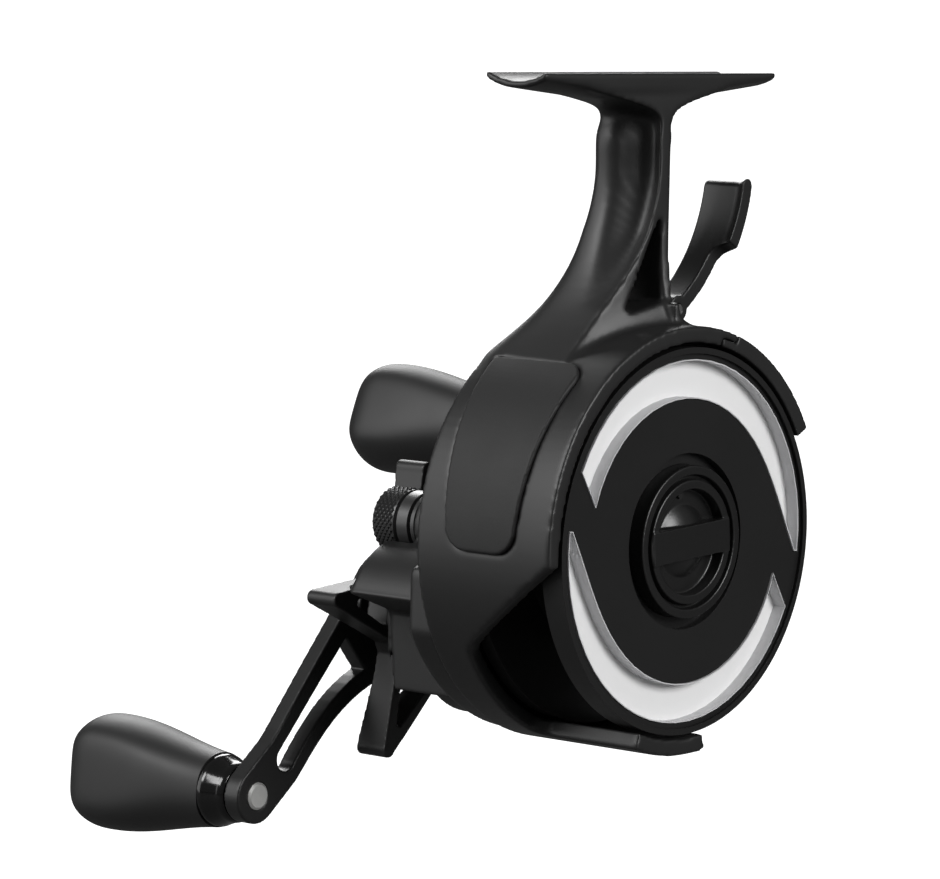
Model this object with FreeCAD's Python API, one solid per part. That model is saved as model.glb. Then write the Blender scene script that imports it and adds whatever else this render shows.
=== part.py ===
import FreeCAD, Part
import math
import os

# Inline ice-fishing reel that hangs under a rod by its foot.
# Working frame: the spool turns about the Y axis through (0, 0), its face looks
# along -Y, the foot is up (+Z) and the line leaves towards +X.  Every piece is
# moved at the end so that the origin is the middle of the foot's seat.
V = FreeCAD.Vector
os.makedirs("parts", exist_ok=True)

# ---------------------------------------------------------------- clearances
RUN = 0.05            # radial running clearance of every shaft in its hole
AIR = 0.7             # air between a turning rim and the wall around it
SLIP = 0.3            # air between two faces that slide past each other
INSET = 0.05          # gap around a piece let into a pocket

# ---------------------------------------------------------------- spool
SPOOL_R = 31.4        # rim of both flanges
RIM_LIP = 0.6         # rim stands this far in front of the face
FLANGE = 3.6          # thickness of the front flange behind the face
DRUM_R = 19.0         # the line winds on this
DRUM_WALL = 2.0
REAR_FLANGE = 2.6
REAR_Y = 17.2         # front side of the rear flange
HUB_R = 6.0           # tube around the shaft
SHAFT_R = 2.5
WHITE_R = 29.5        # outer edge of the two crescent pockets
WHITE_IN = 23.1       # inner edge, an arc about a point WHITE_OFF to the left
WHITE_OFF = 0.9
WHITE_POINT = -7.5    # the thin end, degrees
WHITE_GROW = 6.4      # the inner edge closes on the outer one at the thin end
WHITE_FADE = 18.0
WHITE_CORNER = 154.0  # outer corner of the blunt end
WHITE_TIP = 163.0     # inner tip of the blunt end
WHITE_DEEP = 2.0
WHITE_SHEET = 0.4     # the white inlay on the pocket floor
GROOVE_R = 14.3
CAP_R = 12.4
CAP_PROUD = 1.3
CAP_RING = 1.5        # width of each raised ring on the cap
CAP_RING2_R = 10.1
CAP_BAR = 5.4
DOME_R = 6.6
DOME_HIGH = 2.4
CAP_FLOOR = 0.8       # floor inside the rings
CAP_SEAT = 2.0        # bottom of the cap's recess in the spool
CAP_TURN = 3.5        # the bar's tilt in degrees
LINE_HOLE_R = 1.2

# ---------------------------------------------------------------- housing
WALL = 2.7
RING_IN = SPOOL_R + AIR
RING_OUT = RING_IN + WALL
RING_Y = -0.8         # front edge of the ring
WINDOW_Y = 19.6       # back edge of the two side windows
SHELL_Y = 27.0        # back edge of the housing
BACK_WALL = 3.0
GUARD_A0 = 28.5       # the line guard's free end
GUARD_A1 = 70.0       # its outer step
GUARD_A2 = 76.5       # its inner step
SEAM = 0.12
LEFT_A0 = 182.0
STRAP_A0 = 249.0
STRAP_A1 = 278.5
CORNER = 3.0
SLOPE_Z0 = -0.9       # the left window's slanting front edge
SLOPE_Z1 = -16.6
PAD_A0 = 124.0        # thumb pad
PAD_A1 = 180.5
PAD_Y0 = 4.2
PAD_Y1 = 22.4
PAD_TAPER = 2.6       # how far each long edge slants
PAD_PROUD = 0.6
PAD_DEEP = 0.7
PAD_CORNER = 4.0

# ---------------------------------------------------------------- foot and stem
FOOT_HALF = 29.4
FOOT_Y0 = 6.5
FOOT_DEEP = 12.5
FOOT_Z = 75.3         # long top edges of the foot
FOOT_DISH = 1.5       # depth of the trough for the rod
FOOT_LAND = 1.35      # depth of the flat along the trough's bottom
FOOT_TIP = 1.1
FOOT_ROOT = 3.0
FOOT_MID = 11.0       # half-length of the thick middle
STEM_X0 = -0.9
STEM_X1 = 2.45
STEM_BULGE = 2.3      # the stem's left side swells towards its back
STEM_TOP_Z = 73.2
STEM_FLARE_Z = 64.0   # the fillet under the foot starts here
STEM_WAIST_Z = 60.0   # the spread towards the housing starts here
STEM_BASE_Z = 31.0
SPREAD_LEFT = 16.6
SPREAD_RIGHT = 1.4
SPREAD_BACK = 7.6
SPREAD_EDGE = 3.5     # the front left edge drifts back as it meets the housing
STEM_SECTIONS = 12
HOLE_TOP_Z = 53.6     # triangular window in the stem
HOLE_BASE_Z = 37.4
HOLE_WIDE = 8.4
HOLE_X = 0.7
HOLE_CORNER = 0.5

# ---------------------------------------------------------------- trigger
TRIG_X = 5.7
TRIG_Z = 36.9
TRIG_BARREL = 2.2
TRIG_PIN = 0.8
TRIG_Y0 = 7.0
TRIG_WIDE = 5.0
TRIG_THICK = 2.5
PADDLE_Y0 = 3.0       # the paddle is wider than the neck
KNEE_X = 14.4         # the curved lever passes here
KNEE_Z = 45.3
TIP_X = 18.8
TIP_Z = 56.2
STEP_Z = 46.8         # the neck widens into the paddle here
LUG = 3.2             # lug behind the trigger
GUSSET = 6.2          # reach of the rib in front of the trigger
GUSSET_HIGH = 3.6

# ---------------------------------------------------------------- drive
MODULE = 0.62
PINION_TEETH = 16
GEAR_TEETH = 40
CENTRES = MODULE * (PINION_TEETH + GEAR_TEETH) / 2.0
CRANK_Z = -CENTRES
COVER_R = 34.0        # rear cover's lower half
COVER_TOP_R = 28.4
COVER_FLAT = 30.4     # its two upright sides
COVER_STEP_Z = -4.5   # below this the cover is wide
COVER_CORNER = 1.5
COVER_EDGE = 1.0
COVER_Y = 33.0        # back face of the rear cover
COVER_SKIN = 2.0
CASE_Y = 49.0         # outer face of the gear case
CASE_WALL = 1.8
CASE_ROUND = 3.5
GEAR_AIR = 0.7
BOSS_HULL = 10.0      # the bay's skin wraps the crank's boss at this radius
BAY_X = -16.0         # side bay of the gear case
BAY_Z = -15.0
BAY_R = 12.8
GEAR_Y = 37.0
GEAR_WIDE = 5.0
PINION_OVER = 1.0     # pinion is this much wider than the gear at each side
CLUTCH_STROKE = 1.2   # pull of the trigger slides the pinion this far
BEARING_R = 6.2
BEARING_WIDE = 3.6
CRANK_R = 3.0
DRAG_DISC_R = 10.8
DRAG_DISC = 1.0
STAR_Y = 53.0
STAR_THICK = 5.0
STAR_FLARE = 1.6      # extra thickness at the tips
STAR_R = 26.3
STAR_ARMS = 5
STAR_TURN = 169.6
STAR_TIP = 1.3        # half-width of an arm's end
STAR_SPREAD = 0.29    # widening of an arm towards the hub
STAR_HUB = 8.0
STAR_HOLE_R0 = 12.6
STAR_HOLE_R1 = 20.5
STAR_FRAME = 1.9
ARM_Y = 61.6
ARM_THICK = 3.2
ARM_LONG = 44.6       # crank axis to knob axis
ARM_TURN = 219.1
ARM_EYE = 4.7
ARM_HUB = 10.5
ARM_SWEEP = 2.2       # sideways bow of each arm
ARM_BOW = 36.0        # the bow ends this far out
ARM_FLARE = 7.66
ARM_POWER = 2.56
SLOT_U0 = 13.0
SLOT_U1 = 38.0
BEAM_IN = 3.4
BEAM_OUT = 2.5
RIVET_R = 2.3
RIVET_PROUD = 0.35
POST_R = 2.0
NUT_R = 5.2
NUT_HIGH = 4.2

# ---------------------------------------------------------------- handle knobs
KNOB_Y = 70.0         # seam between collar and grip
KNOB_LONG = 32.6
KNOB_R0 = 6.3
KNOB_R1 = 9.9
KNOB_FAT = 25.5       # widest place, measured from the seam
COLLAR_R = 6.1
COLLAR_WAIST = 5.0

# ---------------------------------------------------------------- brake knob
BRAKE_X = -13.3
BRAKE_Z = 0.0
BOSS_Y = 42.0
BOSS_R = 5.7
BRAKE_R = 5.6
BRAKE_Y1 = 51.9
KNURL_LONG = 5.1
BRAKE_COLLAR = 3.2
BRAKE_RING = 1.2
BRAKE_STEM = 1.8
PLUNGER_R = 3.2
PLUNGER_Y = 23.2
SCREW_R = 2.3
SCREW_RING = 24.0
REAR_BUSH = 2.5

NODES = {}


def disc(r, y0, y1, x=0.0, z=0.0):
    return Part.makeCylinder(r, y1 - y0, V(x, y0, z), V(0, 1, 0))


def tube(ro, ri, y0, y1, x=0.0, z=0.0):
    return disc(ro, y0, y1, x, z).cut(disc(ri, y0 - 1, y1 + 1, x, z))


def turned(points, x=0.0, z=0.0):
    """A solid of revolution about a line along Y, from (radius, y) points."""
    wire = Part.makePolygon([V(r, y, 0) for r, y in points] + [V(points[0][0], points[0][1], 0)])
    body = Part.Face(wire).revolve(V(0, 0, 0), V(0, 1, 0), 360)
    body.translate(V(x, 0, z))
    return body


def sector(ro, ri, y0, y1, a0, a1):
    """A piece of a tube between two angles, counted from +X towards +Z."""
    wire = Part.makePolygon([V(ri, y0, 0), V(ro, y0, 0), V(ro, y1, 0), V(ri, y1, 0), V(ri, y0, 0)])
    face = Part.Face(wire)
    face.rotate(V(0, 0, 0), V(0, -1, 0), a0)
    return face.revolve(V(0, 0, 0), V(0, -1, 0), a1 - a0)


def plate(points, y0, y1):
    """A flat plate with an outline of (x, z) points."""
    wire = Part.makePolygon([V(x, y0, z) for x, z in points] + [V(points[0][0], y0, points[0][1])])
    return Part.Face(wire).extrude(V(0, y1 - y0, 0))


def turn(shape, degrees, x=0.0, z=0.0):
    """Turn a shape about a line along Y, from +X towards +Z."""
    shape.rotate(V(x, 0, z), V(0, -1, 0), degrees)
    return shape


def polar(r, degrees, x=0.0, z=0.0):
    a = math.radians(degrees)
    return (x + r * math.cos(a), z + r * math.sin(a))


def radial_edges(shape):
    """Straight edges that lie across the Y axis."""
    found = []
    for edge in shape.Edges:
        if len(edge.Vertexes) == 2 and edge.Curve.TypeId == "Part::GeomLine":
            if abs(edge.tangentAt(edge.FirstParameter).y) < 0.1:
                found.append(edge)
    return found


def edges_at_y(shape, y):
    """Edges that lie wholly in one plane across the Y axis."""
    found = []
    for edge in shape.Edges:
        box = edge.BoundBox
        if abs(box.YMin - y) < 1e-4 and abs(box.YMax - y) < 1e-4:
            found.append(edge)
    return found


def gear(teeth, y0, y1, bore, x=0.0, z=0.0, phase=0.0):
    """A spur gear with straight-sided teeth; a tooth's middle lies at the phase angle."""
    pitch_r = MODULE * teeth / 2.0
    tip_r = pitch_r + MODULE
    root_r = pitch_r - 1.25 * MODULE
    step = 360.0 / teeth
    points = []
    for i in range(teeth):
        mid = phase + i * step
        for share, r in ((-0.34, root_r), (-0.115, tip_r), (0.115, tip_r), (0.34, root_r)):
            points.append(polar(r, mid + share * step, x, z))
    body = plate(points, y0, y1)
    return body.cut(disc(bore, y0 - 1, y1 + 1, x, z))


def screw(name, x, y, z, r, high, shank_r, shank):
    """A pan-head screw, its head standing at y and its shank going towards -Y."""
    head = disc(r, y, y + high, x, z)
    head = head.makeChamfer(high * 0.3, edges_at_y(head, y + high))
    drive = disc(r * 0.42, y + high * 0.45, y + high + 1, x, z)
    NODES[name] = head.cut(drive).fuse(disc(shank_r, y - shank, y, x, z))


# ================================================================ spool
# The crescent pockets: thin at the start, cut off aslant at the far end.
def crescent(start, inset, y0, y1):
    steps = 24
    outer = []
    inner = []
    for i in range(steps + 1):
        share = i / steps
        a = WHITE_POINT + (WHITE_TIP - WHITE_POINT) * share
        lean = math.radians(a)
        r_in = WHITE_IN - WHITE_OFF * math.cos(lean)
        r_in += WHITE_GROW * math.exp(-(a - WHITE_POINT) / WHITE_FADE)
        inner.append(polar(min(r_in, WHITE_R - 0.3) + inset, start + a))
        b = WHITE_POINT + (WHITE_CORNER - WHITE_POINT) * share
        outer.append(polar(WHITE_R - inset, start + b))
    return plate(outer + inner[::-1], y0, y1)


spool = disc(SPOOL_R, -RIM_LIP, FLANGE)
spool = spool.cut(disc(SPOOL_R - 1.0, -RIM_LIP - 1, 0))
spool = spool.fuse(tube(DRUM_R, DRUM_R - DRUM_WALL, FLANGE - 0.5, REAR_Y + REAR_FLANGE))
spool = spool.fuse(tube(SPOOL_R, DRUM_R - DRUM_WALL, REAR_Y, REAR_Y + REAR_FLANGE))
spool = spool.fuse(disc(HUB_R, FLANGE - 0.5, REAR_Y + REAR_FLANGE))
for i in range(6):
    rib = Part.makeBox(DRUM_R - 1.0, REAR_Y - FLANGE, 1.6, V(0, FLANGE, -0.8))
    spool = spool.fuse(turn(rib, 60.0 * i + 30.0))
spool = spool.cut(disc(SHAFT_R, -5, REAR_Y + REAR_FLANGE + 1))
spool = spool.cut(tube(GROOVE_R, CAP_R + INSET, -1, 1.6))
spool = spool.cut(disc(CAP_R + INSET, -1, CAP_SEAT))
for i in range(2):
    start = 180.0 * i
    spool = spool.cut(crescent(start, 0.0, -2, WHITE_DEEP + WHITE_SHEET))
    NODES["white_inlay_%d" % (i + 1)] = crescent(start, INSET, WHITE_DEEP, WHITE_DEEP + WHITE_SHEET)
for i in range(3):
    hole = Part.makeCylinder(LINE_HOLE_R, DRUM_WALL * 3, V(DRUM_R - DRUM_WALL * 2, 0, 0), V(1, 0, 0))
    hole.translate(V(0, (FLANGE + REAR_Y) / 2.0, 0))
    spool = spool.cut(turn(hole, 120.0 * i))
NODES["spool"] = spool.removeSplitter()

# The cap over the shaft: two raised rings, a dome and a bar across them.
cap = disc(CAP_R, CAP_FLOOR, CAP_SEAT)
cap = cap.fuse(tube(CAP_R, CAP_RING2_R - CAP_RING, 0, CAP_SEAT))
cap = cap.fuse(tube(CAP_R, CAP_R - CAP_RING, -CAP_PROUD, CAP_SEAT))
cap = cap.fuse(tube(CAP_RING2_R, CAP_RING2_R - CAP_RING, -CAP_PROUD, CAP_SEAT))
dome_ball = (DOME_R ** 2 + DOME_HIGH ** 2) / (2 * DOME_HIGH)
dome = Part.makeSphere(dome_ball, V(0, dome_ball - CAP_PROUD + 0.2, 0))
cap = cap.fuse(dome.common(disc(DOME_R, -CAP_PROUD, CAP_SEAT)))
bar = Part.makeBox(2 * CAP_RING2_R - 1, CAP_SEAT, CAP_BAR, V(0.5 - CAP_RING2_R, -CAP_PROUD - 0.2, -CAP_BAR / 2.0))
cap = cap.fuse(turn(bar, CAP_TURN))
pin_x, pin_z = polar(7.7, 97.0)
cap = cap.cut(disc(0.7, -1, CAP_FLOOR + 0.4, pin_x, pin_z))
NODES["spool_cap"] = cap.removeSplitter()
NODES["cap_pin"] = disc(0.7 - INSET, CAP_FLOOR - 0.4, CAP_FLOOR + 0.4, pin_x, pin_z)

# The spool's shaft carries a dog that the sliding pinion locks on to.
pinion_y0 = GEAR_Y - PINION_OVER
pinion_y1 = GEAR_Y + GEAR_WIDE + PINION_OVER
case_in = CASE_Y - CASE_WALL
shaft = disc(SHAFT_R, CAP_SEAT, case_in - SLIP)
dog = disc(SHAFT_R + 1.4, pinion_y0 - 2.4, pinion_y0 - SLIP)
NODES["spool_shaft"] = shaft.fuse(dog)
NODES["pinion"] = gear(PINION_TEETH, pinion_y0, pinion_y1, SHAFT_R + RUN, 0, 0, 90.0)

# ================================================================ housing
housing = tube(RING_OUT, RING_IN, RING_Y, SHELL_Y)
left_cut = sector(RING_OUT + 3, RING_IN - 2, RING_Y - 3, WINDOW_Y, LEFT_A0 - 6, STRAP_A0)
left_cut = left_cut.makeFillet(CORNER, [e for e in radial_edges(left_cut)
                                        if e.BoundBox.YMin > WINDOW_Y - 1 and e.BoundBox.ZMax < -20])
wire = Part.makePolygon([V(-60, RING_Y - 3, SLOPE_Z0 + 1.6), V(-60, WINDOW_Y, SLOPE_Z1),
                         V(-60, WINDOW_Y, -60), V(-60, RING_Y - 3, -60),
                         V(-60, RING_Y - 3, SLOPE_Z0 + 1.6)])
slope = Part.Face(wire).extrude(V(59, 0, 0))
slope = slope.makeFillet(CORNER, [e for e in slope.Edges
                                  if abs(e.BoundBox.YMin - WINDOW_Y) < 1e-4
                                  and abs(e.BoundBox.YMax - WINDOW_Y) < 1e-4
                                  and e.BoundBox.ZMax < SLOPE_Z1 + 0.01
                                  and e.BoundBox.ZMin > SLOPE_Z1 - 0.01])
housing = housing.cut(left_cut.common(slope))
right_cut = sector(RING_OUT + 3, RING_IN - 2, RING_Y - 3, WINDOW_Y, STRAP_A1, 360 + GUARD_A0)
right_cut = right_cut.makeFillet(CORNER, [e for e in radial_edges(right_cut)
                                          if e.BoundBox.YMin > WINDOW_Y - 1])
housing = housing.cut(right_cut)

# The line guard is a loose arc with a stepped end, so the housing gives way to it.
mid_r = (RING_IN + RING_OUT) / 2.0
gap_a = math.degrees(SEAM / mid_r)
guard_room = sector(RING_OUT + 3, RING_IN - 2, RING_Y - 3, WINDOW_Y, GUARD_A0 - 1, GUARD_A1 + gap_a)
guard_room = guard_room.fuse(sector(mid_r + SEAM / 2, RING_IN - 2, RING_Y - 3, WINDOW_Y, GUARD_A1, GUARD_A2 + gap_a))
guard = sector(RING_OUT, RING_IN, RING_Y, WINDOW_Y, GUARD_A0, GUARD_A1)
NODES["line_guard"] = guard.fuse(sector(mid_r - SEAM / 2, RING_IN, RING_Y, WINDOW_Y, GUARD_A1 - 1, GUARD_A2))

# Back wall with the spool's front bearing in its boss and a hole for the brake plunger.
wall_y0 = SHELL_Y - BACK_WALL
housing = housing.fuse(disc(RING_IN + 0.5, wall_y0, SHELL_Y))
housing = housing.fuse(disc(BEARING_R + 2, SHELL_Y - BEARING_WIDE - 2, SHELL_Y))
housing = housing.cut(disc(BEARING_R, SHELL_Y - BEARING_WIDE, SHELL_Y + 1))
housing = housing.cut(disc(SHAFT_R + 1, 0, SHELL_Y))
housing = housing.cut(disc(PLUNGER_R + SLIP, 0, SHELL_Y + 1, BRAKE_X, BRAKE_Z))
NODES["front_bearing"] = tube(BEARING_R, SHAFT_R + RUN, SHELL_Y - BEARING_WIDE, SHELL_Y)

# Thumb pad let into the upper left of the housing.
def pad_blank(reach, grow, spread):
    """A curved plate whose two long edges draw together towards its lower end."""
    top_z = RING_OUT
    points = [(PAD_Y0 - grow, top_z), (PAD_Y0 + PAD_TAPER - grow, -PAD_TAPER),
              (PAD_Y1 - PAD_TAPER + grow, -PAD_TAPER), (PAD_Y1 + PAD_TAPER + grow, top_z)]
    wire = Part.makePolygon([V(-2 * RING_OUT, y, z) for y, z in points + points[:1]])
    window = Part.Face(wire).extrude(V(2 * RING_OUT, 0, 0))
    return sector(reach, RING_OUT - PAD_DEEP, PAD_Y0 - 3, SHELL_Y, PAD_A0 - spread, PAD_A1 + spread).common(window)


pad = pad_blank(RING_OUT + PAD_PROUD, 0.0, 0.0)
pocket = pad_blank(RING_OUT + 3, INSET, 0.1)
pocket = pocket.makeFillet(PAD_CORNER, radial_edges(pocket))
NODES["thumb_pad"] = pad.makeFillet(PAD_CORNER, radial_edges(pad))


# Stem: thin in front, swelling towards its back, spreading on to the housing below
# and into the foot above.
def stem_section(z):
    low = max(0.0, (STEM_WAIST_Z - z) / (STEM_WAIST_Z - STEM_BASE_Z))
    high = max(0.0, (z - STEM_FLARE_Z) / (STEM_TOP_Z - STEM_FLARE_Z))
    x0 = STEM_X0 - SPREAD_LEFT * low ** 1.7 - 10.5 * high ** 2.9
    x1 = STEM_X1 - SPREAD_RIGHT * low ** 3 + 10.5 * high ** 2.9
    y0 = FOOT_Y0 + (RING_Y - FOOT_Y0) * min(1.0, low) ** 5
    y1 = FOOT_Y0 + FOOT_DEEP - 1.2 + (SPREAD_BACK + 1.2) * min(1.0, low) ** 3 + 1.2 * high ** 2
    y_left = FOOT_Y0 + SPREAD_EDGE * min(1.0, low) ** 2
    bulge = STEM_BULGE * (1.0 - high) * (1.0 - 0.8 * min(1.0, low))
    deep = y1 - y_left
    side = Part.BSplineCurve()
    side.interpolate([V(x0, y_left, z), V(x0 - 0.45 * bulge, y_left + 0.3 * deep, z),
                      V(x0 - bulge, y_left + 0.68 * deep, z), V(x0 - 0.75 * bulge, y_left + 0.9 * deep, z),
                      V(x0 + 0.9, y1, z)])
    back = Part.LineSegment(V(x0 + 0.9, y1, z), V(x1, y1, z))
    right = Part.LineSegment(V(x1, y1, z), V(x1, y0, z))
    front = Part.LineSegment(V(x1, y0, z), V(x0, y_left, z))
    return Part.Wire([side.toShape(), back.toShape(), right.toShape(), front.toShape()])


sections = []
for i in range(STEM_SECTIONS + 1):
    sections.append(stem_section(STEM_BASE_Z - 4 + (STEM_TOP_Z - STEM_BASE_Z + 4) * i / STEM_SECTIONS))
stem = Part.makeLoft(sections, True, False)
stem = stem.cut(disc(RING_IN + 0.6, RING_Y - 5, SHELL_Y + 5))
hole = plate([(HOLE_X, HOLE_TOP_Z), (HOLE_X - 0.7, HOLE_BASE_Z + 1), (HOLE_X - HOLE_WIDE, HOLE_BASE_Z - 1)],
             -20, 60)
hole = hole.makeFillet(HOLE_CORNER, [e for e in hole.Edges if e.BoundBox.YLength > 40])
stem = stem.cut(hole)


# Foot: a curved strip that thins towards its tips.
def foot_section(x, thick):
    y0 = FOOT_Y0
    y1 = FOOT_Y0 + FOOT_DEEP
    ym = (y0 + y1) / 2.0
    top = Part.Arc(V(x, y0, FOOT_Z), V(x, ym, FOOT_Z - FOOT_DISH), V(x, y1, FOOT_Z)).toShape()
    low = Part.Arc(V(x, y1, FOOT_Z - thick), V(x, ym, FOOT_Z - thick - FOOT_DISH),
                   V(x, y0, FOOT_Z - thick)).toShape()
    rear = Part.makeLine(V(x, y1, FOOT_Z), V(x, y1, FOOT_Z - thick))
    front = Part.makeLine(V(x, y0, FOOT_Z - thick), V(x, y0, FOOT_Z))
    return Part.Wire([top, rear, low, front])


foot = Part.makeLoft([foot_section(-FOOT_HALF, FOOT_TIP), foot_section(-FOOT_MID, FOOT_ROOT),
                      foot_section(FOOT_MID, FOOT_ROOT), foot_section(FOOT_HALF, FOOT_TIP)], True, True)
land = Part.makeBox(2 * FOOT_HALF - 4, 4.0, 0.3,
                    V(2 - FOOT_HALF, FOOT_Y0 + FOOT_DEEP / 2 - 2, FOOT_Z - FOOT_LAND - 0.3))
foot = foot.fuse(land)

# A lug behind the trigger holds its pin; a rib runs down in front of it.
trig_y1 = TRIG_Y0 + TRIG_WIDE
lug_y0 = trig_y1 + SLIP
lug_y1 = lug_y0 + LUG
lug = disc(TRIG_BARREL, lug_y0, lug_y1, TRIG_X, TRIG_Z)
lug = lug.fuse(plate([(TRIG_X - TRIG_BARREL, TRIG_Z), (TRIG_X + TRIG_BARREL, TRIG_Z),
                      (TRIG_X + TRIG_BARREL, RING_IN - 0.5), (TRIG_X - TRIG_BARREL - 2, RING_IN - 0.5)],
                     lug_y0, lug_y1))
rib = [(0.0, RING_IN), (0.0, RING_OUT + GUSSET_HIGH)]
for i in range(9):
    share = i / 8
    rib.append((STEM_X1 - SPREAD_RIGHT + GUSSET * share ** 2, RING_OUT + GUSSET_HIGH * (1 - share) ** 2 - 0.5 * share))
rib.append((STEM_X1 - SPREAD_RIGHT + GUSSET, RING_IN))
rib = plate(rib, FOOT_Y0 - SPREAD_EDGE, TRIG_Y0 - SLIP)
lugs = lug.fuse(rib).cut(disc(RING_IN + 0.3, -5, SHELL_Y))
housing = housing.fuse(stem).fuse(foot).fuse(lugs).cut(guard_room)
housing = housing.cut(disc(TRIG_PIN, TRIG_Y0, lug_y1, TRIG_X, TRIG_Z))
housing = housing.cut(pocket)
NODES["trigger_pin"] = disc(TRIG_PIN, TRIG_Y0, lug_y1, TRIG_X, TRIG_Z)

# ================================================================ trigger
# The lever follows one arc from its pivot, past the knee, to the tip.
lever = Part.Arc(V(TRIG_X, 0, TRIG_Z), V(KNEE_X, 0, KNEE_Z), V(TIP_X, 0, TIP_Z)).toShape().Curve
mid = lever.Center


def bent(y0, y1, z0, z1):
    """The length of the lever between two heights."""
    r = lever.Radius
    a0 = math.degrees(math.asin((z0 - mid.z) / r))
    a1 = math.degrees(math.asin((z1 - mid.z) / r))
    body = sector(r + TRIG_THICK / 2.0, r - TRIG_THICK / 2.0, y0, y1, a0, a1)
    body.translate(V(mid.x, 0, mid.z))
    return body


trigger = disc(TRIG_BARREL, TRIG_Y0, trig_y1, TRIG_X, TRIG_Z)
trigger = trigger.fuse(bent(TRIG_Y0, trig_y1, TRIG_Z, STEP_Z + 1))
paddle = bent(PADDLE_Y0, trig_y1, STEP_Z, TIP_Z)
paddle = paddle.fuse(disc(TRIG_THICK / 2.0, PADDLE_Y0, trig_y1, TIP_X, TIP_Z))
trigger = trigger.fuse(paddle)
trigger = trigger.cut(disc(TRIG_PIN + RUN, 0, SHELL_Y, TRIG_X, TRIG_Z))
NODES["trigger"] = trigger.removeSplitter()

# ================================================================ rear cover and gear case
def cover_shape(inset, y0, y1):
    """A round top on a wider bottom with two upright sides."""
    half = COVER_FLAT - inset
    low = Part.makeBox(2 * half, y1 - y0, 2 * COVER_R, V(-half, y0, COVER_STEP_Z - inset - 2 * COVER_R))
    low = disc(COVER_R - inset, y0, y1).common(low)
    low = low.makeFillet(COVER_CORNER, [e for e in low.Edges if e.BoundBox.YLength > 1 and e.BoundBox.XLength < 0.1])
    return disc(COVER_TOP_R - inset, y0, y1).fuse(low).removeSplitter()


cover = cover_shape(0.0, SHELL_Y, COVER_Y)
cover = cover.makeChamfer(COVER_EDGE, edges_at_y(cover, COVER_Y))
cover = cover.cut(cover_shape(CASE_WALL * 1.5, SHELL_Y - 1, COVER_Y - COVER_SKIN))
cover = cover.cut(disc(SHAFT_R + 1.4 + SLIP, 0, COVER_Y + 1))
cover = cover.cut(disc(CRANK_R + RUN, 0, COVER_Y + 1, 0, CRANK_Z))
cover = cover.fuse(tube(CRANK_R + 2, CRANK_R + RUN, SHELL_Y + 1, COVER_Y - COVER_SKIN, 0, CRANK_Z))
cover = cover.fuse(tube(PLUNGER_R + 1.5, PLUNGER_R + RUN, SHELL_Y, COVER_Y, BRAKE_X, BRAKE_Z))
cover = cover.cut(disc(PLUNGER_R + RUN, 0, COVER_Y + 1, BRAKE_X, BRAKE_Z))


def hull_plate(ra, rb, y0, y1):
    """The outline of two circles and their outer tangents: the gear's and the bay's."""
    dx = BAY_X
    dz = BAY_Z - CRANK_Z
    gap = math.hypot(dx, dz)
    base = math.degrees(math.atan2(dz, dx))
    lean = math.degrees(math.acos((ra - rb) / gap))
    points = [polar(ra, base + lean, 0, CRANK_Z), polar(rb, base + lean, BAY_X, BAY_Z),
              polar(rb, base - lean, BAY_X, BAY_Z), polar(ra, base - lean, 0, CRANK_Z)]
    body = plate(points, y0, y1)
    return body.fuse(disc(ra, y0, y1, 0, CRANK_Z)).fuse(disc(rb, y0, y1, BAY_X, BAY_Z))


gear_tip = MODULE * (GEAR_TEETH + 2) / 2.0
pinion_tip = MODULE * (PINION_TEETH + 2) / 2.0
case_r = gear_tip + GEAR_AIR + CASE_WALL
neck_r = pinion_tip + GEAR_AIR + CASE_WALL
main_y = GEAR_Y + GEAR_WIDE + 2 * DRAG_DISC + SLIP + CASE_WALL
case = hull_plate(BOSS_HULL, BAY_R, COVER_Y, CASE_Y).removeSplitter()
case = case.makeChamfer(CASE_ROUND / 2, edges_at_y(case, CASE_Y))
low_case = disc(case_r, COVER_Y, main_y, 0, CRANK_Z)
low_case = low_case.makeChamfer(CASE_ROUND / 2, edges_at_y(low_case, main_y))
case = case.fuse(low_case).fuse(disc(neck_r, COVER_Y, CASE_Y))
case = case.fuse(disc(BOSS_R, COVER_Y, BOSS_Y, BRAKE_X, BRAKE_Z))
case = case.cut(disc(BRAKE_R + 0.8, BOSS_Y, CASE_Y + 1, BRAKE_X, BRAKE_Z))
case = case.cut(hull_plate(BOSS_HULL - CASE_WALL, BAY_R - CASE_WALL, COVER_Y - 1, case_in - 1.6))
case = case.cut(disc(case_r - CASE_WALL, COVER_Y - 1, main_y - CASE_WALL, 0, CRANK_Z))
case = case.cut(disc(neck_r - CASE_WALL, COVER_Y - 1, case_in))
case = case.fuse(tube(BOSS_R, PLUNGER_R + RUN, COVER_Y, BOSS_Y - 1.5, BRAKE_X, BRAKE_Z))
case = case.cut(disc(PLUNGER_R + RUN, COVER_Y - 1, BOSS_Y - 2.0, BRAKE_X, BRAKE_Z))
case = case.cut(disc(BRAKE_STEM + RUN, COVER_Y - 1, BOSS_Y + 1, BRAKE_X, BRAKE_Z))
rear_y0 = case_in - REAR_BUSH
case = case.fuse(tube(BEARING_R, SHAFT_R + RUN + 1.5, rear_y0, case_in + 0.2))
case = case.fuse(disc(CRANK_R + 3.5, case_in - 1.6, CASE_Y + 2.0, 0, CRANK_Z))
case = case.cut(disc(CRANK_R + 2.0, case_in - 2.6, CASE_Y + 3.0, 0, CRANK_Z))
NODES["gear_case"] = case.removeSplitter()
NODES["crank_bush"] = tube(CRANK_R + 2.0, CRANK_R + RUN, case_in - 1.6, CASE_Y + 2.0, 0, CRANK_Z)
NODES["rear_bush"] = tube(SHAFT_R + RUN + 1.5, SHAFT_R + RUN, rear_y0, case_in)

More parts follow.
